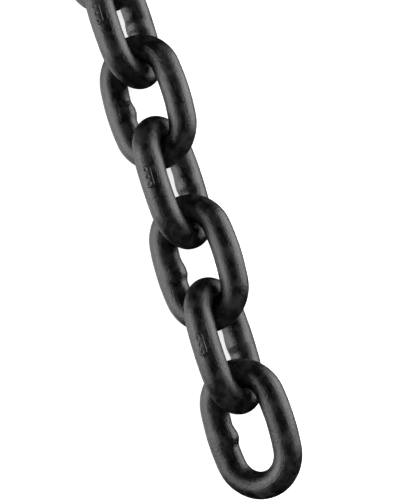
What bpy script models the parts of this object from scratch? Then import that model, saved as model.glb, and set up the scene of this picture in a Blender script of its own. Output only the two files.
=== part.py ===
"""A metre of short link steel chain, laid straight on a level floor.

The chain is welded links of round bar, each threaded through the next.
Laid out on a floor, the links lean 45 degrees to one side and then to the
other, so that every link rests on its lower bar.  X runs along the chain,
Z is up, and the origin is on the floor under the middle of the chain.
"""

import math

import bpy

# Driving dimensions, in metres: lifting chain of nominal size 16 x 48 mm.
BAR_DIAMETER = 0.016
PITCH = 0.049  # inner length of a link, where 46.6 to 49.4 mm is allowed
OUTER_WIDTH = 0.055
LINK_COUNT = 21  # the first count whose nominal pitches add up to over one metre
LEAN = math.radians(45)  # of each link's plane, to one side or to the other

# The end bends are a little tighter than half round, so the sides bow out.
CROWN_RADIUS_SHARE = 0.95  # of half the centreline's width
SEAT_GAP = 0.0003  # between two links that bear on each other

# The upset weld is a collar in the middle of the lower side, proud on the
# inside of the link and trimmed flush on the outside.
WELD_LENGTH = 0.0085
WELD_FLAT = 0.0065  # straight facet in the middle of the collar, which rests on the floor
WELD_RAMP = 0.0020
WELD_RISE = 0.0009  # of the collar's radius over the bar's

# Facets.  The bar's flats face the link's centre, its faces and the floor.
BAR_SIDES = 16
CROWN_STEPS = 7  # odd, so that a flat lies on the crown's inner middle
SIDE_FLAT = 0.010  # length of the straight facet in the middle of a side

BAR_RADIUS = BAR_DIAMETER / 2
BAR_FLAT_RADIUS = BAR_RADIUS * math.cos(math.pi / BAR_SIDES)
HALF_LENGTH = (PITCH + BAR_DIAMETER) / 2  # of the bar's centreline
HALF_WIDTH = (OUTER_WIDTH - BAR_DIAMETER) / 2  # of the bar's centreline
CROWN_RADIUS = HALF_WIDTH * CROWN_RADIUS_SHARE
CROWN_CENTRE = HALF_LENGTH - CROWN_RADIUS

COLLECTION_NAME = "short_link_chain"
BLACK_LACQUER = (0.013, 0.013, 0.014, 1.0)


def side_radius():
    """Radius of the bowed side that meets both end bends without a kink."""
    spread = CROWN_CENTRE**2 + HALF_WIDTH**2 - CROWN_RADIUS**2
    return spread / (2 * (HALF_WIDTH - CROWN_RADIUS))


def crown_half_angle():
    """Half of the angle through which an end bend turns."""
    return math.atan2(side_radius() - HALF_WIDTH, CROWN_CENTRE)


def side_height(x):
    """Distance of a side's centreline from the link's long axis at x."""
    radius = side_radius()
    return HALF_WIDTH - radius + math.sqrt(radius**2 - x**2)


def crown_points(end):
    """Points of one end bend: end is 1 at +X and -1 at -X, turning from -Y to +Y at +X."""
    half_angle = crown_half_angle()
    points = []
    for step in range(CROWN_STEPS + 1):
        angle = half_angle * (2 * step / CROWN_STEPS - 1)
        x = CROWN_CENTRE + CROWN_RADIUS * math.cos(angle)
        y = CROWN_RADIUS * math.sin(angle)
        points.append((end * x, end * y, 1.0))
    return points


def plain_side_points():
    """Points in the middle of the side without the weld, from +X to -X."""
    half = SIDE_FLAT / 2
    return [(x, side_height(half), 1.0) for x in (half, -half)]


def weld_side_points():
    """Points in the middle of the side with the weld, from -X to +X.

    The collar's centre moves inwards by as much as its radius grows, which
    keeps the outside of the bar flush.
    """
    foot = WELD_LENGTH / 2 + WELD_RAMP
    top = WELD_LENGTH / 2
    flat = WELD_FLAT / 2
    plain = side_height(foot)
    raised = plain - WELD_RISE
    thick = 1 + WELD_RISE / BAR_RADIUS
    collar = [(x, -raised, thick) for x in (-top, -flat, flat, top)]
    return [(-foot, -plain, 1.0), *collar, (foot, -plain, 1.0)]


def link_outline():
    """The bar's centreline, once round the link, as (x, y, thickness)."""
    return crown_points(1) + plain_side_points() + crown_points(-1) + weld_side_points()


def link_curve():
    """One link as a closed curve with a round bevel, shared by all links."""
    curve = bpy.data.curves.new("link", "CURVE")
    curve.dimensions = "3D"
    curve.twist_mode = "Z_UP"
    curve.bevel_depth = BAR_RADIUS
    curve.bevel_resolution = (BAR_SIDES - 4) // 2
    outline = link_outline()
    spline = curve.splines.new("POLY")
    spline.points.add(len(outline) - 1)
    spline.use_cyclic_u = True
    for point, (x, y, thickness) in zip(spline.points, outline):
        point.co = (x, y, 0, 1)
        point.radius = thickness
        point.tilt = math.pi / BAR_SIDES
    return curve


def link_spacing():
    """Distance between the middles of two links that bear on each other."""
    half_step = crown_half_angle() / CROWN_STEPS
    inner_radius = CROWN_RADIUS - BAR_FLAT_RADIUS
    seat = CROWN_CENTRE + inner_radius * math.cos(half_step)
    return 2 * seat - SEAT_GAP


def axis_height():
    """Height of the chain's axis over the floor that the weld collars rest on."""
    collar_centre = side_height(WELD_LENGTH / 2 + WELD_RAMP) - WELD_RISE
    collar_flat = (BAR_RADIUS + WELD_RISE) * math.cos(math.pi / BAR_SIDES)
    return collar_centre * math.sin(LEAN) + collar_flat


def black_lacquer():
    """Thin black lacquer over the scale of heat treated steel."""
    material = bpy.data.materials.new("black_lacquer")
    material.use_nodes = True
    shader = material.node_tree.nodes["Principled BSDF"]
    shader.inputs["Base Color"].default_value = BLACK_LACQUER
    shader.inputs["Roughness"].default_value = 0.45
    shader.inputs["Metallic"].default_value = 0.0
    return material


def build_chain():
    """Places every link, leaning to alternate sides, its weld downwards."""
    collection = bpy.data.collections.new(COLLECTION_NAME)
    bpy.context.scene.collection.children.link(collection)
    curve = link_curve()
    curve.materials.append(black_lacquer())
    spacing = link_spacing()
    height = axis_height()
    for index in range(LINK_COUNT):
        link = bpy.data.objects.new(f"link_{index + 1:02d}", curve)
        x = (index - (LINK_COUNT - 1) / 2) * spacing
        link.location = (x, 0, height)
        lean = LEAN if index % 2 == 0 else math.pi - LEAN
        link.rotation_euler = (lean, 0, 0)
        collection.objects.link(link)


def main():
    for leftover in list(bpy.data.objects):
        bpy.data.objects.remove(leftover)
    build_chain()


main()
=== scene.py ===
"""Black short link chain, lying straight on a pale studio floor.

Every link is forged here by one Geometry Nodes tree: a bowed oval of round bar with its upset weld, the
uneven skin of hot formed steel, and a plain raised pad.  X runs along the chain and Z is up.
"""

import math

import bpy
from bpy.props import (
    FloatProperty,
    IntProperty,
    PointerProperty,
    StringProperty,
)
from mathutils import Matrix, Vector


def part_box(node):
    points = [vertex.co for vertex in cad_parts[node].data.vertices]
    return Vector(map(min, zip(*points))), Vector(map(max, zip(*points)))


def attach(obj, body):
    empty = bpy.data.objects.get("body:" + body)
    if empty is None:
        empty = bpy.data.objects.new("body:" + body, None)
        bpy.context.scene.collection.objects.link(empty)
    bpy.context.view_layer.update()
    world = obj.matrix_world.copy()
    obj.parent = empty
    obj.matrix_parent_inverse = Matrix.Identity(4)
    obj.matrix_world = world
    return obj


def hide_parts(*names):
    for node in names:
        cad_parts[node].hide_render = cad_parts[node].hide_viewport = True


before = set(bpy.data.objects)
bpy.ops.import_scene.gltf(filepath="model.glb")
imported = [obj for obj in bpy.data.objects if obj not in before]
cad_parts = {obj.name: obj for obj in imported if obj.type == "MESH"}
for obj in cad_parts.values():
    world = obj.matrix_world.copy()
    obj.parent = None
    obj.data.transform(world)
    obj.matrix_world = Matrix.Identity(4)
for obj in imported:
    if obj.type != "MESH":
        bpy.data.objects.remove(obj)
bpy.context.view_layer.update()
LINK_NAMES = sorted(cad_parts)


def middle_of(name):
    """Middle of one solid link's box."""
    low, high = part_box(name)
    return (low + high) / 2


FIRST_LINK = middle_of(LINK_NAMES[0])
LAST_LINK = middle_of(LINK_NAMES[-1])
LINK_SPACING = (LAST_LINK.x - FIRST_LINK.x) / (len(LINK_NAMES) - 1)
LEAN = math.radians(45)
BAR_DIAMETER = 0.016
OUTER_WIDTH = 0.055
PITCH = 0.049

bl_info = {
    "name": "Short link chain",
    "version": (1, 0, 0),
    "blender": (4, 5, 0),
    "location": "3D View > Sidebar > Chain",
    "description": "Forges a lacquered short link chain and sets the studio it lies in",
    "category": "Object",
}


class LinkSizes(bpy.types.PropertyGroup):
    """Sizes of one link of round bar"""

    bar_diameter: FloatProperty(
        name="Bar diameter", description="Of the round bar", default=BAR_DIAMETER, unit="LENGTH"
    )
    pitch: FloatProperty(
        name="Pitch", description="Inner length of a link", default=PITCH, unit="LENGTH"
    )
    outer_width: FloatProperty(
        name="Outer width", description="Over both sides", default=OUTER_WIDTH, unit="LENGTH"
    )
    crown_share: FloatProperty(
        name="Crown share",
        description="Radius of the end bends, as a share of half the centreline's width",
        default=0.95,
        subtype="FACTOR",
    )
    thinning: FloatProperty(
        name="Thinning",
        description="Of the bar on the outside of the end bends, as a share of its radius",
        default=0.08,
        subtype="FACTOR",
    )
    rings: IntProperty(
        name="Rings", description="Cross sections round one link", default=288, min=32
    )
    facets: IntProperty(
        name="Facets", description="Points round the bar", default=48, min=12
    )


class WeldSizes(bpy.types.PropertyGroup):
    """Sizes of the upset butt weld in the lower side"""

    rise: FloatProperty(
        name="Rise", description="Of the upset over the bar's inside", default=0.0016, unit="LENGTH"
    )
    slope: FloatProperty(
        name="Slope", description="Length over which the upset swells", default=0.0080, unit="LENGTH"
    )
    crest: FloatProperty(
        name="Crest", description="Length of the upset's top", default=0.0014, unit="LENGTH"
    )
    drop: FloatProperty(
        name="Drop", description="Length over which the upset ends", default=0.0054, unit="LENGTH"
    )
    shift: FloatProperty(
        name="Shift", description="Of the upset's top from the link's middle", default=0.0004, unit="LENGTH"
    )
    flash: FloatProperty(
        name="Flash", description="Height of the thin ridge at the joint", default=0.00006, unit="LENGTH"
    )


class PadSizes(bpy.types.PropertyGroup):
    """Sizes of the plain raised pad on the upper side"""

    every: IntProperty(name="Every", description="Links from one pad to the next", default=2, min=1)
    pits: IntProperty(name="Pits", description="Shallow round pits in a row on the pad", default=3, min=1)
    step: FloatProperty(
        name="Step", description="Distance between two pits", default=0.0041, unit="LENGTH"
    )
    height: FloatProperty(
        name="Height", description="Of the pad, across the link's bar", default=0.0064, unit="LENGTH"
    )
    margin: FloatProperty(
        name="Margin", description="Plain ends of the pad, together", default=0.0016, unit="LENGTH"
    )
    rim: FloatProperty(
        name="Rim", description="Width over which the pad's edge rounds off", default=0.0011, unit="LENGTH"
    )
    relief: FloatProperty(
        name="Relief", description="How far the pad stands out", default=0.00045, unit="LENGTH"
    )
    pit_radius: FloatProperty(
        name="Pit radius", description="Of a pit's mouth", default=0.0012, unit="LENGTH"
    )
    pit_depth: FloatProperty(
        name="Pit depth", description="Of a pit, from the pad's face", default=0.00028, unit="LENGTH"
    )
    shift: FloatProperty(
        name="Shift", description="Of the pad along the link, from its middle", default=-0.0029, unit="LENGTH"
    )
    turn: FloatProperty(
        name="Turn",
        description="Of the pad round the bar, from the outermost line",
        default=math.radians(-8),
        subtype="ANGLE",
    )


class SkinLooks(bpy.types.PropertyGroup):
    """Looks of the lacquer and of the forging scale under it"""

    lacquer: StringProperty(
        name="Lacquer", description="Colour of the lacquer, sRGB hex", default="060607"
    )
    scale: StringProperty(
        name="Scale", description="Colour where scale shows through, sRGB hex", default="202021"
    )
    waviness: FloatProperty(
        name="Waviness", description="Depth of the forged skin's waves", default=0.00007, unit="LENGTH"
    )
    wave_length: FloatProperty(
        name="Wave length", description="Of the forged skin's waves", default=0.009, unit="LENGTH"
    )
    streak_width: FloatProperty(
        name="Streak width", description="Of the drawing streaks along the bar", default=0.0012, unit="LENGTH"
    )
    grain: FloatProperty(
        name="Grain", description="Size of the scale's grains", default=0.0015, unit="LENGTH"
    )
    patch: FloatProperty(
        name="Patch", description="Size of the scale's patches", default=0.007, unit="LENGTH"
    )


class StudioSettings(bpy.types.PropertyGroup):
    """The floor, the soft lights and the camera"""

    floor_size: FloatProperty(
        name="Floor", description="Side of the square floor", default=60.0, unit="LENGTH"
    )
    floor_colour: StringProperty(
        name="Floor colour", description="Of the pale floor, sRGB hex", default="eeeeee"
    )
    floor_glow: FloatProperty(
        name="Floor glow", description="Brightness of the light under the floor", default=0.6
    )
    room_strength: FloatProperty(
        name="Room", description="Brightness of the pale room", default=1.0
    )
    side_strength: FloatProperty(
        name="Side lights", description="Brightness of the two side lights", default=4.55
    )
    right_bounce_strength: FloatProperty(
        name="Right bounce", description="Brightness of the pale floor's glow on the right", default=2.6
    )
    left_bounce_strength: FloatProperty(
        name="Left bounce", description="Brightness of the pale floor's glow on the left", default=1.3
    )
    foot_strength: FloatProperty(
        name="Foot light", description="Brightness of the light at the chain's foot", default=0.3
    )
    light_distance: FloatProperty(
        name="Light distance", description="From the chain to a side light", default=1.3, unit="LENGTH"
    )
    distance: FloatProperty(
        name="Camera distance", description="To the middle of the end link", default=0.8118, unit="LENGTH"
    )
    right: FloatProperty(
        name="End link right", description="Of the middle of the view", default=0.02685, unit="LENGTH"
    )
    down: FloatProperty(
        name="End link down", description="Below the middle of the view", default=0.0995, unit="LENGTH"
    )
    steepness: FloatProperty(
        name="Steepness",
        description="Of the chain in the view, from level",
        default=math.radians(72.47),
        subtype="ANGLE",
    )
    recession: FloatProperty(
        name="Recession",
        description="How much the chain leads away from the camera",
        default=math.radians(6.85),
        subtype="ANGLE",
    )
    bearing: FloatProperty(
        name="Bearing",
        description="Of the camera round the chain, above the floor on its right",
        default=math.radians(73.53),
        subtype="ANGLE",
    )
    lens: FloatProperty(
        name="Lens", description="Focal length in millimetres on a 36 mm frame", default=105.0
    )


class ChainSettings(bpy.types.PropertyGroup):
    """Everything about the chain that a user would change"""

    link: PointerProperty(type=LinkSizes)
    weld: PointerProperty(type=WeldSizes)
    pad: PointerProperty(type=PadSizes)
    skin: PointerProperty(type=SkinLooks)
    studio: PointerProperty(type=StudioSettings)


def linear(hex_colour):
    """Linear colour of an sRGB hex value, as red, green, blue and alpha."""
    parts = [int(hex_colour[start : start + 2], 16) / 255 for start in (0, 2, 4)]
    return [c / 12.92 if c <= 0.04045 else ((c + 0.055) / 1.055) ** 2.4 for c in parts] + [1.0]


def add(tree, kind, inputs=None, **settings):
    """Adds a node, sets its properties, and fills its inputs with values, sockets or nodes' first outputs."""
    node = tree.nodes.new(kind)
    for name, value in settings.items():
        setattr(node, name, value)
    for key, value in (inputs or {}).items():
        if isinstance(value, bpy.types.Node):
            value = value.outputs[0]
        if isinstance(value, bpy.types.NodeSocket):
            tree.links.new(value, node.inputs[key])
        else:
            node.inputs[key].default_value = value
    return node


def lacquered_steel(skin):
    """Thin black lacquer over the dark scale of quenched and tempered steel.

    The lacquer is satin and fills the scale unevenly, so the eye sees soft broad highlights that are
    faintly streaked along the bar and mottled where the scale lies thicker.  The real streaks and grains
    are 0.1 to 0.3 mm wide.  A pixel of the render is 0.6 mm, so both are drawn as coarse as they need to
    show.
    """
    material = bpy.data.materials.new("lacquered_forging_scale")
    material.use_nodes = True
    tree = material.node_tree
    shader = tree.nodes["Principled BSDF"]
    place = add(tree, "ShaderNodeTexCoord").outputs["Object"]
    across = add(tree, "ShaderNodeAttribute", attribute_name="crosswise").outputs["Vector"]
    along = add(tree, "ShaderNodeAttribute", attribute_name="lengthwise").outputs["Vector"]
    split = add(tree, "ShaderNodeSeparateXYZ", {0: along})
    stretch = 0.12  # a streak is about eight times as long as it is wide
    along_x = add(tree, "ShaderNodeMath", {0: split.outputs["X"], 1: stretch}, operation="MULTIPLY")
    along_y = add(tree, "ShaderNodeMath", {0: split.outputs["Y"], 1: stretch}, operation="MULTIPLY")
    run = add(tree, "ShaderNodeCombineXYZ", {"Z": along_x})
    drawn = add(tree, "ShaderNodeVectorMath", {0: across, 1: run}, operation="ADD")
    streaks = add(
        tree,
        "ShaderNodeTexNoise",
        {"Vector": drawn, "W": along_y, "Scale": 1 / skin.streak_width, "Detail": 3.0, "Roughness": 0.6},
        noise_dimensions="4D",
    )
    patches = add(
        tree,
        "ShaderNodeTexNoise",
        {"Vector": place, "Scale": 1 / skin.patch, "Detail": 5.0, "Roughness": 0.62, "Distortion": 0.4},
    )
    grains = add(
        tree,
        "ShaderNodeTexNoise",
        {"Vector": place, "Scale": 1 / skin.grain, "Detail": 4.0, "Roughness": 0.7},
    )
    cover = add(
        tree,
        "ShaderNodeMapRange",
        {"Value": patches, "From Min": 0.42, "From Max": 0.68, "To Min": 0.0, "To Max": 1.0},
        interpolation_type="SMOOTHSTEP",
    )
    colour = add(
        tree,
        "ShaderNodeMix",
        {"Factor": cover, 6: linear(skin.lacquer), 7: linear(skin.scale)},
        data_type="RGBA",
    )
    tree.links.new(colour.outputs[2], shader.inputs["Base Color"])
    streak_gloss = add(
        tree,
        "ShaderNodeMapRange",
        {"Value": streaks, "From Min": 0.3, "From Max": 0.7, "To Min": -0.08, "To Max": 0.08},
    )
    gloss = add(
        tree,
        "ShaderNodeMapRange",
        {"Value": patches, "From Min": 0.3, "From Max": 0.7, "To Min": 0.26, "To Max": 0.36},
    )
    roughness = add(tree, "ShaderNodeMath", {0: gloss, 1: streak_gloss}, operation="ADD")
    tree.links.new(roughness.outputs[0], shader.inputs["Roughness"])
    streak_relief = add(
        tree,
        "ShaderNodeBump",
        {"Height": streaks, "Strength": 1.0, "Distance": 0.00016},
    )
    grain_relief = add(
        tree,
        "ShaderNodeBump",
        {"Height": grains, "Strength": 1.0, "Distance": 0.00032, "Normal": streak_relief},
    )
    tree.links.new(grain_relief.outputs[0], shader.inputs["Normal"])
    shader.inputs["IOR"].default_value = 1.52
    shader.inputs["Metallic"].default_value = 0.0
    return material


def declare(tree, sizes):
    """Declares a tree's named inputs and its one output, and returns the node that holds the inputs."""
    for name, socket in sizes.items():
        tree.interface.new_socket(name, in_out="INPUT", socket_type=socket)
    tree.interface.new_socket("Geometry", in_out="OUTPUT", socket_type="NodeSocketGeometry")
    return tree.nodes.new("NodeGroupInput").outputs


def bent_outline(tree, size):
    """The bar's centreline: four arcs, placed by the direction that each point of a circle faces."""
    circle = add(tree, "GeometryNodeCurvePrimitiveCircle", {"Resolution": 720, "Radius": 1.0})
    facing = add(tree, "GeometryNodeInputPosition")
    corner = add(tree, "ShaderNodeVectorMath", {0: facing}, operation="SIGN")
    crown_middle = add(tree, "ShaderNodeCombineXYZ", {"X": size["Crown Centre"]})
    crown_arc = add(
        tree, "ShaderNodeVectorMath", {0: facing, "Scale": size["Crown Radius"]}, operation="SCALE"
    )
    crown = add(
        tree,
        "ShaderNodeVectorMath",
        {0: corner, 1: crown_middle, 2: crown_arc},
        operation="MULTIPLY_ADD",
    )
    sink = add(
        tree,
        "ShaderNodeMath",
        {0: size["Half Width"], 1: size["Side Radius"]},
        operation="SUBTRACT",
    )
    side_middle = add(tree, "ShaderNodeCombineXYZ", {"Y": sink})
    side_arc = add(
        tree, "ShaderNodeVectorMath", {0: facing, "Scale": size["Side Radius"]}, operation="SCALE"
    )
    side = add(
        tree,
        "ShaderNodeVectorMath",
        {0: corner, 1: side_middle, 2: side_arc},
        operation="MULTIPLY_ADD",
    )
    sideways = add(tree, "ShaderNodeSeparateXYZ", {0: facing})
    steep = add(tree, "ShaderNodeMath", {0: sideways.outputs["Y"]}, operation="ABSOLUTE")
    on_side = add(
        tree,
        "FunctionNodeCompare",
        {0: steep, 1: size["Crown Sine"]},
        data_type="FLOAT",
        operation="GREATER_THAN",
    )
    point = add(
        tree, "GeometryNodeSwitch", {"Switch": on_side, "False": crown, "True": side}, input_type="VECTOR"
    )
    outline = add(tree, "GeometryNodeSetPosition", {"Geometry": circle, "Position": point})
    return add(
        tree,
        "GeometryNodeResampleCurve",
        {"Curve": outline, "Count": size["Rings"]},
        mode="COUNT",
    )


def round_bar(tree, size):
    """The bar swept along the outline.  Each point keeps where it lies across the bar and along it.

    Lengthwise is a place on a circle as long as the link's centreline, so that a pattern has no seam.
    """
    outline = bent_outline(tree, size)
    share = add(tree, "GeometryNodeSplineParameter").outputs["Factor"]
    turn = add(tree, "ShaderNodeMath", {0: share, 1: 2 * math.pi}, operation="MULTIPLY")
    cosine = add(tree, "ShaderNodeMath", {0: turn}, operation="COSINE")
    sine = add(tree, "ShaderNodeMath", {0: turn}, operation="SINE")
    girth = add(tree, "GeometryNodeSplineLength").outputs["Length"]
    radius = add(tree, "ShaderNodeMath", {0: girth, 1: 2 * math.pi}, operation="DIVIDE")
    unit = add(tree, "ShaderNodeCombineXYZ", {"X": cosine, "Y": sine})
    lengthwise = add(tree, "ShaderNodeVectorMath", {0: unit, "Scale": radius}, operation="SCALE")
    rail = outline
    here = add(tree, "GeometryNodeInputPosition")
    for name, value in (("lengthwise", lengthwise), ("centreline", here)):
        rail = add(
            tree,
            "GeometryNodeStoreNamedAttribute",
            {"Geometry": rail, "Name": name, "Value": value},
            data_type="FLOAT_VECTOR",
        )
    rail = add(tree, "GeometryNodeSetCurveNormal", {"Curve": rail}, mode="Z_UP")
    section = add(
        tree,
        "GeometryNodeCurvePrimitiveCircle",
        {"Resolution": size["Facets"], "Radius": size["Bar Radius"]},
    )
    section = add(
        tree,
        "GeometryNodeStoreNamedAttribute",
        {"Geometry": section, "Name": "crosswise", "Value": here},
        data_type="FLOAT_VECTOR",
    )
    return add(tree, "GeometryNodeCurveToMesh", {"Curve": rail, "Profile Curve": section})


def stretched_bends(tree, size, bar):
    """Thins the bar on the outside of the end bends, where bending stretched it."""
    here = add(tree, "GeometryNodeInputPosition")
    middle = add(
        tree, "GeometryNodeInputNamedAttribute", {"Name": "centreline"}, data_type="FLOAT_VECTOR"
    )
    corner = add(tree, "ShaderNodeVectorMath", {0: middle}, operation="SIGN")
    centre = add(tree, "ShaderNodeCombineXYZ", {"X": size["Crown Centre"]})
    centre = add(tree, "ShaderNodeVectorMath", {0: corner, 1: centre}, operation="MULTIPLY")
    spoke = add(tree, "ShaderNodeVectorMath", {0: middle, 1: centre}, operation="SUBTRACT")
    spoke = add(tree, "ShaderNodeVectorMath", {0: spoke}, operation="NORMALIZE")
    offset = add(tree, "ShaderNodeVectorMath", {0: here, 1: middle}, operation="SUBTRACT")
    outside = add(tree, "ShaderNodeVectorMath", {0: offset, 1: spoke}, operation="DOT_PRODUCT")
    outside = add(tree, "ShaderNodeMath", {0: outside.outputs["Value"], 1: 0.0}, operation="MAXIMUM")
    end = add(tree, "ShaderNodeSeparateXYZ", {0: middle})
    end = add(tree, "ShaderNodeMath", {0: end.outputs["X"]}, operation="ABSOLUTE")
    bend_end = add(
        tree, "ShaderNodeMath", {0: size["Crown Centre"], 1: size["Crown Radius"]}, operation="ADD"
    )
    bend = add(
        tree,
        "ShaderNodeMapRange",
        {"Value": end, "From Min": size["Crown Centre"], "From Max": bend_end},
        interpolation_type="SMOOTHSTEP",
    )
    loss = add(tree, "ShaderNodeMath", {0: outside, 1: bend}, operation="MULTIPLY")
    loss = add(tree, "ShaderNodeMath", {0: loss, 1: size["Bend Thinning"]}, operation="MULTIPLY")
    loss = add(tree, "ShaderNodeMath", {0: loss, 1: -1.0}, operation="MULTIPLY")
    pull = add(tree, "ShaderNodeVectorMath", {0: spoke, "Scale": loss}, operation="SCALE")
    return add(tree, "GeometryNodeSetPosition", {"Geometry": bar, "Offset": pull})


def upset_weld(tree, size, bar):
    """Swells the inside of the lower side: a slow slope, a short crest with thin flash, and a sharp end."""
    here = add(tree, "GeometryNodeInputPosition")
    middle = add(
        tree, "GeometryNodeInputNamedAttribute", {"Name": "centreline"}, data_type="FLOAT_VECTOR"
    )
    offset = add(tree, "ShaderNodeVectorMath", {0: here, 1: middle}, operation="SUBTRACT")
    x = add(tree, "ShaderNodeSeparateXYZ", {0: here}).outputs["X"]
    side_y = add(tree, "ShaderNodeSeparateXYZ", {0: middle}).outputs["Y"]
    inward = add(tree, "ShaderNodeSeparateXYZ", {0: offset}).outputs["Y"]
    lower = add(tree, "ShaderNodeMath", {0: side_y, 1: 0.0}, operation="LESS_THAN")
    inside = add(
        tree,
        "ShaderNodeMath",
        {0: inward, 1: size["Bar Radius"]},
        operation="DIVIDE",
    )
    cover = add(
        tree,
        "ShaderNodeMapRange",
        {"Value": inside, "From Min": -0.15, "From Max": 0.95},
        interpolation_type="SMOOTHSTEP",
    )
    ragged = add(
        tree,
        "ShaderNodeTexNoise",
        {"Vector": here, "W": size["Seed"], "Scale": 190.0, "Detail": 2.0},
        noise_dimensions="4D",
    )
    wander = add(
        tree,
        "ShaderNodeMapRange",
        {"Value": ragged, "From Min": 0.25, "From Max": 0.75, "To Min": -0.0005, "To Max": 0.0005},
    )
    wandering_x = add(tree, "ShaderNodeMath", {0: x, 1: wander}, operation="ADD")
    crest_end = add(
        tree, "ShaderNodeMath", {0: size["Crest"], 1: size["Drop"]}, operation="ADD"
    )
    start = add(tree, "ShaderNodeMath", {0: 0.0, 1: size["Slope"]}, operation="SUBTRACT")
    shift = add(tree, "ShaderNodeMath", {0: wandering_x, 1: size["Weld Shift"]}, operation="SUBTRACT")
    swell = add(
        tree,
        "ShaderNodeMapRange",
        {"Value": shift, "From Min": start, "From Max": 0.0},
        interpolation_type="SMOOTHSTEP",
    )
    fall = add(
        tree,
        "ShaderNodeMapRange",
        {"Value": shift, "From Min": size["Crest"], "From Max": crest_end, "To Min": 1.0, "To Max": 0.0},
        interpolation_type="SMOOTHSTEP",
    )
    hump = add(tree, "ShaderNodeMath", {0: swell, 1: fall}, operation="MULTIPLY")
    uneven = add(
        tree,
        "ShaderNodeMapRange",
        {"Value": ragged, "From Min": 0.25, "From Max": 0.75, "To Min": 0.92, "To Max": 1.04},
    )
    hump = add(tree, "ShaderNodeMath", {0: hump, 1: uneven}, operation="MULTIPLY")
    hump = add(tree, "ShaderNodeMath", {0: hump, 1: size["Weld Rise"]}, operation="MULTIPLY")
    ridge_place = add(tree, "ShaderNodeMath", {0: shift, 1: size["Crest"]}, operation="SUBTRACT")
    ridge_place = add(tree, "ShaderNodeMath", {0: ridge_place}, operation="ABSOLUTE")
    ridge = add(
        tree,
        "ShaderNodeMapRange",
        {"Value": ridge_place, "From Min": 0.0, "From Max": 0.0011, "To Min": 1.0, "To Max": 0.0},
        interpolation_type="SMOOTHSTEP",
    )
    ridge = add(tree, "ShaderNodeMath", {0: ridge, 1: size["Flash"]}, operation="MULTIPLY")
    rise = add(tree, "ShaderNodeMath", {0: hump, 1: ridge}, operation="ADD")
    rise = add(tree, "ShaderNodeMath", {0: rise, 1: cover}, operation="MULTIPLY")
    rise = add(tree, "ShaderNodeMath", {0: rise, 1: lower}, operation="MULTIPLY")
    outward = add(tree, "ShaderNodeVectorMath", {0: offset}, operation="NORMALIZE")
    way = add(tree, "ShaderNodeVectorMath", {0: outward, 1: (0.0, 1.0, 0.0)}, operation="ADD")
    push = add(tree, "ShaderNodeVectorMath", {0: way, "Scale": rise}, operation="SCALE")
    push = add(tree, "ShaderNodeVectorMath", {0: push, "Scale": 0.5}, operation="SCALE")
    return add(tree, "GeometryNodeSetPosition", {"Geometry": bar, "Offset": push})


def forged_skin(tree, size, bar):
    """Moves the skin in and out in long low waves, as on bar that was drawn, bent hot and descaled."""
    across = add(
        tree, "GeometryNodeInputNamedAttribute", {"Name": "crosswise"}, data_type="FLOAT_VECTOR"
    )
    along = add(
        tree, "GeometryNodeInputNamedAttribute", {"Name": "lengthwise"}, data_type="FLOAT_VECTOR"
    )
    split = add(tree, "ShaderNodeSeparateXYZ", {0: along})
    run = add(tree, "ShaderNodeCombineXYZ", {"Z": split.outputs["X"]})
    vector = add(tree, "ShaderNodeVectorMath", {0: across, 1: run}, operation="ADD")
    w = add(tree, "ShaderNodeMath", {0: split.outputs["Y"], 1: size["Seed"]}, operation="ADD")
    frequency = add(tree, "ShaderNodeMath", {0: 1.0, 1: size["Wave Length"]}, operation="DIVIDE")
    waves = add(
        tree,
        "ShaderNodeTexNoise",
        {"Vector": vector, "W": w, "Scale": frequency, "Detail": 2.0, "Roughness": 0.55},
        noise_dimensions="4D",
    )
    low = add(tree, "ShaderNodeMath", {0: 0.0, 1: size["Waviness"]}, operation="SUBTRACT")
    depth = add(
        tree,
        "ShaderNodeMapRange",
        {"Value": waves, "From Min": 0.25, "From Max": 0.75, "To Min": low, "To Max": size["Waviness"]},
    )
    normal = add(tree, "GeometryNodeInputNormal")
    push = add(tree, "ShaderNodeVectorMath", {0: normal, "Scale": depth}, operation="SCALE")
    return add(tree, "GeometryNodeSetPosition", {"Geometry": bar, "Offset": push})


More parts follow.
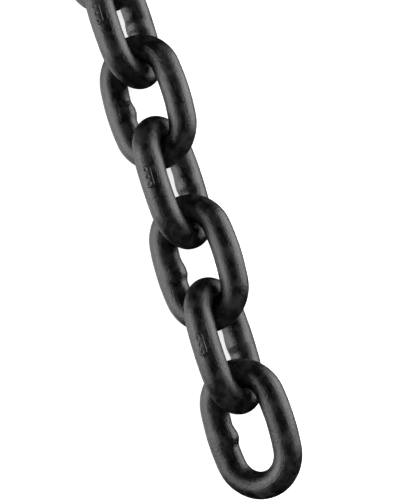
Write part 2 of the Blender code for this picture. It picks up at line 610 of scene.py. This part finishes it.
def raised_pad(tree, size):
    """A plain long pad with a row of shallow pits, shaped flat and then wrapped round the upper side.

    Its root and the foot of its edge lie inside the bar, so it grows out of the skin.
    """
    length = add(
        tree,
        "ShaderNodeMath",
        {0: size["Pad Pits"], 1: size["Pad Step"], 2: size["Pad Margin"]},
        operation="MULTIPLY_ADD",
    )
    block_size = add(
        tree, "ShaderNodeCombineXYZ", {"X": length, "Y": size["Pad Height"], "Z": size["Pad Root"]}
    )
    block = add(
        tree,
        "GeometryNodeMeshCube",
        {"Size": block_size, "Vertices X": 65, "Vertices Y": 31, "Vertices Z": 2},
    )
    here = add(tree, "GeometryNodeInputPosition")
    flat = add(tree, "ShaderNodeSeparateXYZ", {0: here})
    x, y, z = (flat.outputs[axis] for axis in "XYZ")
    lengthwise = add(tree, "ShaderNodeCombineXYZ", {"X": x})
    crosswise = add(tree, "ShaderNodeCombineXYZ", {"X": z, "Y": y})
    pad = block
    for name, value in (("lengthwise", lengthwise), ("crosswise", crosswise)):
        pad = add(
            tree,
            "GeometryNodeStoreNamedAttribute",
            {"Geometry": pad, "Name": name, "Value": value},
            data_type="FLOAT_VECTOR",
        )
    past = add(tree, "ShaderNodeMath", {0: x}, operation="ABSOLUTE")
    straight = add(tree, "ShaderNodeMath", {0: length, 1: size["Pad Height"]}, operation="SUBTRACT")
    past = add(tree, "ShaderNodeMath", {0: straight, 1: -0.5, 2: past}, operation="MULTIPLY_ADD")
    past = add(tree, "ShaderNodeMath", {0: past, 1: 0.0}, operation="MAXIMUM")
    spread = add(tree, "ShaderNodeCombineXYZ", {"X": past, "Y": y})
    spread = add(tree, "ShaderNodeVectorMath", {0: spread}, operation="LENGTH").outputs["Value"]
    foot = add(tree, "ShaderNodeMath", {0: size["Pad Height"], 1: 0.5}, operation="MULTIPLY")
    shoulder = add(tree, "ShaderNodeMath", {0: foot, 1: size["Pad Rim"]}, operation="SUBTRACT")
    sunk = add(tree, "ShaderNodeMath", {0: size["Pad Root"], 1: -0.15}, operation="MULTIPLY")
    face = add(
        tree,
        "ShaderNodeMapRange",
        {
            "Value": spread,
            "From Min": shoulder,
            "From Max": foot,
            "To Min": size["Pad Relief"],
            "To Max": sunk,
        },
        interpolation_type="SMOOTHSTEP",
    )
    cell = add(tree, "ShaderNodeMath", {0: x, 1: size["Pad Step"]}, operation="DIVIDE")
    cell = add(
        tree, "ShaderNodeMath", {0: size["Pad Pits"], 1: 0.5, 2: cell}, operation="MULTIPLY_ADD"
    )
    cell = add(tree, "ShaderNodeMath", {0: cell}, operation="FRACT")
    cell = add(tree, "ShaderNodeMath", {0: cell, 1: 0.5}, operation="SUBTRACT")
    cell = add(tree, "ShaderNodeMath", {0: cell, 1: size["Pad Step"]}, operation="MULTIPLY")
    reach = add(tree, "ShaderNodeCombineXYZ", {"X": cell, "Y": y})
    reach = add(tree, "ShaderNodeVectorMath", {0: reach}, operation="LENGTH").outputs["Value"]
    pit = add(
        tree,
        "ShaderNodeMapRange",
        {"Value": reach, "From Max": size["Pit Radius"], "To Min": size["Pit Depth"], "To Max": 0.0},
        interpolation_type="SMOOTHSTEP",
    )
    face = add(tree, "ShaderNodeMath", {0: face, 1: pit}, operation="SUBTRACT")
    face = add(tree, "ShaderNodeMath", {0: face, 1: z}, operation="MINIMUM")
    x = add(tree, "ShaderNodeMath", {0: x, 1: size["Pad Shift"]}, operation="ADD")
    angle = add(tree, "ShaderNodeMath", {0: y, 1: size["Bar Radius"]}, operation="DIVIDE")
    angle = add(tree, "ShaderNodeMath", {0: size["Pad Turn"], 1: angle}, operation="SUBTRACT")
    cosine = add(tree, "ShaderNodeMath", {0: angle}, operation="COSINE")
    sine = add(tree, "ShaderNodeMath", {0: angle}, operation="SINE")
    radius = add(tree, "ShaderNodeMath", {0: size["Bar Radius"], 1: face}, operation="ADD")
    bow = add(tree, "ShaderNodeMath", {0: x, 1: x}, operation="MULTIPLY")
    bow = add(tree, "ShaderNodeMath", {0: bow, 1: size["Side Radius"]}, operation="DIVIDE")
    side = add(
        tree, "ShaderNodeMath", {0: bow, 1: -0.5, 2: size["Half Width"]}, operation="MULTIPLY_ADD"
    )
    out = add(tree, "ShaderNodeMath", {0: radius, 1: cosine, 2: side}, operation="MULTIPLY_ADD")
    up = add(tree, "ShaderNodeMath", {0: radius, 1: sine}, operation="MULTIPLY")
    wrapped = add(tree, "ShaderNodeCombineXYZ", {"X": x, "Y": out, "Z": up})
    pad = add(tree, "GeometryNodeSetPosition", {"Geometry": pad, "Position": wrapped})
    return add(
        tree, "GeometryNodeSwitch", {"Switch": size["Has Pad"], "True": pad}, input_type="GEOMETRY"
    )


def link_tree():
    """One link, threaded into its place in the chain."""
    tree = bpy.data.node_groups.new("forged_link", "GeometryNodeTree")
    length, number, angle = "NodeSocketFloat", "NodeSocketInt", "NodeSocketFloat"
    size = declare(
        tree,
        {
            "Bar Radius": length,
            "Half Width": length,
            "Crown Radius": length,
            "Crown Centre": length,
            "Crown Sine": length,
            "Side Radius": length,
            "Bend Thinning": length,
            "Rings": number,
            "Facets": number,
            "Weld Rise": length,
            "Weld Shift": length,
            "Slope": length,
            "Crest": length,
            "Drop": length,
            "Flash": length,
            "Wave Length": length,
            "Waviness": length,
            "Has Pad": "NodeSocketBool",
            "Pad Pits": number,
            "Pad Step": length,
            "Pad Height": length,
            "Pad Margin": length,
            "Pad Rim": length,
            "Pad Relief": length,
            "Pad Root": length,
            "Pit Radius": length,
            "Pit Depth": length,
            "Pad Shift": length,
            "Pad Turn": angle,
            "Seed": length,
            "Place": length,
            "Height": length,
            "Lean": angle,
            "Finish": "NodeSocketMaterial",
        },
    )
    bar = round_bar(tree, size)
    bar = stretched_bends(tree, size, bar)
    bar = upset_weld(tree, size, bar)
    bar = forged_skin(tree, size, bar)
    link = add(tree, "GeometryNodeJoinGeometry")
    for part in (bar, raised_pad(tree, size)):
        tree.links.new(part.outputs[0], link.inputs[0])
    turn = add(tree, "ShaderNodeCombineXYZ", {"X": size["Lean"]})
    move = add(tree, "ShaderNodeCombineXYZ", {"X": size["Place"], "Z": size["Height"]})
    link = add(
        tree, "GeometryNodeTransform", {"Geometry": link, "Translation": move, "Rotation": turn}
    )
    link = add(tree, "GeometryNodeSetShadeSmooth", {"Geometry": link, "Shade Smooth": True})
    link = add(tree, "GeometryNodeRealizeInstances", {"Geometry": link})
    link = add(tree, "GeometryNodeSetMaterial", {"Geometry": link, "Material": size["Finish"]})
    result = tree.nodes.new("NodeGroupOutput")
    tree.links.new(link.outputs[0], result.inputs[0])
    return tree


def outline_sizes(link):
    """Sizes of the outline's arcs, from the link's driving sizes."""
    half_length = (link.pitch + link.bar_diameter) / 2
    half_width = (link.outer_width - link.bar_diameter) / 2
    crown = half_width * link.crown_share
    centre = half_length - crown
    side = (centre**2 + half_width**2 - crown**2) / (2 * (half_width - crown))
    return {
        "Bar Radius": link.bar_diameter / 2,
        "Half Width": half_width,
        "Crown Radius": crown,
        "Crown Centre": centre,
        "Crown Sine": (side - half_width) / (side - crown),
        "Side Radius": side,
        "Bend Thinning": link.thinning,
        "Rings": link.rings,
        "Facets": link.facets,
    }


def fill_inputs(modifier, values):
    """Sets a modifier's inputs by their names in its tree."""
    for item in modifier.node_group.interface.items_tree:
        if item.item_type == "SOCKET" and item.in_out == "INPUT" and item.name in values:
            modifier[item.identifier] = values[item.name]


class CHAIN_OT_forge_links(bpy.types.Operator):
    """Forge every link of the chain over its solid"""

    bl_idname = "short_link_chain.forge_links"
    bl_label = "Forge links"

    def execute(self, context):
        settings = context.scene.short_link_chain
        tree = link_tree()
        finish = lacquered_steel(settings.skin)
        weld, pad, skin = settings.weld, settings.pad, settings.skin
        shared = outline_sizes(settings.link)
        shared |= {
            "Crest": weld.crest,
            "Drop": weld.drop,
            "Flash": weld.flash,
            "Waviness": skin.waviness,
            "Wave Length": skin.wave_length,
            "Pad Pits": pad.pits,
            "Pad Step": pad.step,
            "Pad Height": pad.height,
            "Pad Margin": pad.margin,
            "Pad Rim": pad.rim,
            "Pad Relief": pad.relief,
            "Pad Root": shared["Bar Radius"] / 4,
            "Pit Radius": pad.pit_radius,
            "Pit Depth": pad.pit_depth,
            "Pad Shift": pad.shift,
            "Pad Turn": pad.turn,
            "Height": shared["Half Width"] * math.sin(LEAN) + shared["Bar Radius"],
            "Finish": finish,
        }
        for index, name in enumerate(LINK_NAMES):
            blank = bpy.data.objects.new("blank", bpy.data.meshes.new("blank"))
            context.scene.collection.objects.link(blank)
            modifier = blank.modifiers.new("forge", "NODES")
            modifier.node_group = tree
            own = {
                "Seed": 1.7 * (index + 1),
                "Has Pad": index % pad.every == pad.every - 1,
                "Slope": weld.slope * (1 - 0.2 * math.sin(1.3 * index)),
                "Weld Rise": weld.rise * (1 - 0.12 * math.sin(2.4 * index)),
                "Weld Shift": weld.shift + 0.0006 * math.sin(1.9 * index),
                "Place": FIRST_LINK.x + index * LINK_SPACING,
                "Lean": LEAN if index % 2 == 0 else math.pi - LEAN,
            }
            fill_inputs(modifier, shared | own)
            context.view_layer.update()
            depsgraph = context.evaluated_depsgraph_get()
            mesh = bpy.data.meshes.new_from_object(blank.evaluated_get(depsgraph))
            bpy.data.objects.remove(blank)
            piece = bpy.data.objects.new(f"forged_{name}", mesh)
            context.scene.collection.objects.link(piece)
            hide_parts(name)
            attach(piece, name)
        return {"FINISHED"}


def plain_floor(studio):
    """Opal acrylic of a light table, dull and lit from below, so that it shows as an even pale ground."""
    material = bpy.data.materials.new("pale_floor")
    material.use_nodes = True
    shader = material.node_tree.nodes["Principled BSDF"]
    shader.inputs["Base Color"].default_value = linear(studio.floor_colour)
    shader.inputs["Roughness"].default_value = 0.9
    shader.inputs["Specular IOR Level"].default_value = 0.1
    shader.inputs["Emission Color"].default_value = (1.0, 1.0, 1.0, 1.0)
    shader.inputs["Emission Strength"].default_value = studio.floor_glow
    return material


def view_axes(studio):
    """The chain's X, Y and Z in the camera's own axes: right, up and backwards."""
    lead = studio.steepness
    away = studio.recession
    along = Vector((math.cos(lead) * math.cos(away), -math.sin(lead) * math.cos(away), math.sin(away)))
    across = Vector((math.sin(lead), math.cos(lead), 0.0))
    toward = across.cross(-along)
    up = math.cos(studio.bearing) * across + math.sin(studio.bearing) * toward
    side = math.sin(studio.bearing) * across - math.cos(studio.bearing) * toward
    return along, side, up


def aim_camera(studio):
    """Puts the camera where the end link shows at its place in the view."""
    data = bpy.data.cameras.new("camera")
    data.lens = studio.lens
    data.sensor_width = 36.0
    camera = bpy.data.objects.new("camera", data)
    bpy.context.scene.collection.objects.link(camera)
    axes = Matrix(view_axes(studio))
    in_view = Vector((studio.right, -studio.down, -studio.distance))
    camera.matrix_world = Matrix.Translation(LAST_LINK - axes @ in_view) @ axes.to_4x4()
    bpy.context.scene.camera = camera
    return axes


def soft_light(name, target, direction, distance, size, radiance):
    """A rectangular light that faces the target.  Its size is along the chain, then across that."""
    data = bpy.data.lights.new(name, "AREA")
    data.shape = "RECTANGLE"
    data.size, data.size_y = size
    data.energy = radiance * math.pi * size[0] * size[1]
    light = bpy.data.objects.new(name, data)
    bpy.context.scene.collection.objects.link(light)
    back = direction.normalized()
    run = Vector((1.0, 0.0, 0.0))
    run = (run - run.dot(back) * back).normalized()
    light.matrix_world = Matrix.Translation(target + distance * back) @ (
        Matrix((run, back.cross(run), back)).transposed().to_4x4()
    )
    light.visible_camera = False
    return light


class CHAIN_OT_set_studio(bpy.types.Operator):
    """Set the pale floor, the soft lights and the camera"""

    bl_idname = "short_link_chain.set_studio"
    bl_label = "Set studio"

    def execute(self, context):
        scene = context.scene
        studio = scene.short_link_chain.studio
        bpy.ops.mesh.primitive_plane_add(size=studio.floor_size)
        floor = context.object
        floor.name = "floor"
        floor.data.materials.append(plain_floor(studio))
        floor.visible_glossy = False
        floor.visible_shadow = False
        aim_camera(studio)
        world = bpy.data.worlds.new("pale_room")
        scene.world = world
        world.use_nodes = True
        world.node_tree.nodes["Background"].inputs["Color"].default_value = (1.0, 1.0, 1.0, 1.0)
        world.node_tree.nodes["Background"].inputs["Strength"].default_value = studio.room_strength
        world.cycles_visibility.glossy = False
        lights = (
            ("right_light", 0.45, (-0.08, 0.90, 0.40), (1.2, 1.26), studio.side_strength),
            ("left_light", -0.1, (0.04, -0.99, 0.01), (1.3, 1.26), studio.side_strength),
            ("right_bounce", 0.45, (-0.08, 0.98, -0.175), (1.2, 0.55), studio.right_bounce_strength),
            ("left_bounce", -0.1, (0.04, -0.622, -0.783), (1.3, 1.3), studio.left_bounce_strength),
            ("foot_light", 0.6, (0.80, -0.1, 0.60), (0.8, 0.8), studio.foot_strength),
        )
        for name, share, direction, size, strength in lights:
            soft_light(name, share * LAST_LINK, Vector(direction), studio.light_distance, size, strength)
        scene.view_settings.view_transform = "Standard"
        return {"FINISHED"}


class CHAIN_PT_workshop(bpy.types.Panel):
    """Buttons that make the chain and its studio"""

    bl_idname = "CHAIN_PT_workshop"
    bl_label = "Short link chain"
    bl_space_type = "VIEW_3D"
    bl_region_type = "UI"
    bl_category = "Chain"

    def draw(self, context):
        settings = context.scene.short_link_chain
        for operator in (CHAIN_OT_forge_links, CHAIN_OT_set_studio):
            self.layout.operator(operator.bl_idname)
        for group in (settings.link, settings.weld, settings.pad, settings.skin, settings.studio):
            box = self.layout.box()
            for name in group.__annotations__:
                box.prop(group, name)


CLASSES = (
    LinkSizes,
    WeldSizes,
    PadSizes,
    SkinLooks,
    StudioSettings,
    ChainSettings,
    CHAIN_OT_forge_links,
    CHAIN_OT_set_studio,
    CHAIN_PT_workshop,
)


def register():
    for item in CLASSES:
        bpy.utils.register_class(item)
    bpy.types.Scene.short_link_chain = PointerProperty(type=ChainSettings)


def unregister():
    del bpy.types.Scene.short_link_chain
    for item in reversed(CLASSES):
        bpy.utils.unregister_class(item)


def main():
    register()
    bpy.ops.short_link_chain.forge_links()
    bpy.ops.short_link_chain.set_studio()


if __name__ == "__main__":
    main()
